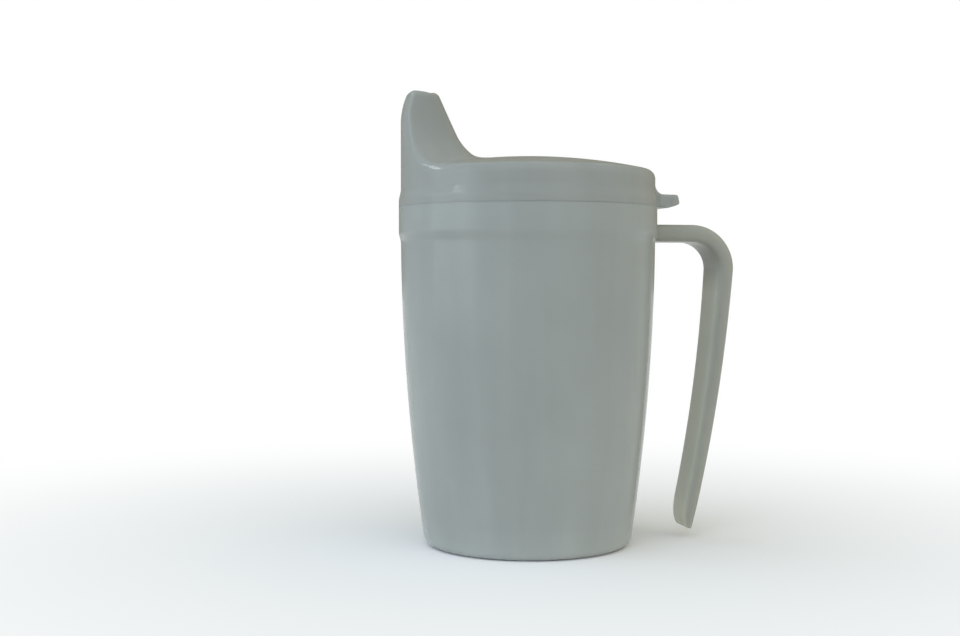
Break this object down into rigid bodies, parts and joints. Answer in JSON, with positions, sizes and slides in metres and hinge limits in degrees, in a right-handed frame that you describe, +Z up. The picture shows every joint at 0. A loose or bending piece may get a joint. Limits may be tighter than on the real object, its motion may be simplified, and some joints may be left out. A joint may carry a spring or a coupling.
{
  "type": "spouted feeding cup",
  "caption": "Translucent tapered drinking cup with an open strap handle and a push-on domed lid that carries an upright spout and a thumb tab.",
  "frame": {"origin": "centre of the cup's foot ring, on the table plane", "axes": "+Z up along the cup's axis, +X towards the handle, the spout at -X, the XZ plane is the plane of symmetry"},
  "size_m": [0.098, 0.074, 0.1288],
  "materials": {
    "cup_plastic": "milky translucent polypropylene, satin",
    "handle_plastic": "milky translucent polypropylene, satin",
    "lid_plastic": "milky translucent polypropylene, satin"
  },
  "bodies": {
    "cup": {"cup": "cup_plastic", "handle": "handle_plastic"},
    "lid": {"lid": "lid_plastic"}
  },
  "joints": [
    {"name": "lid_lift", "type": "slide", "parent": "cup", "child": "lid", "axis": [0, 0, 1], "range_m": [0, 0.06]}
  ]
}
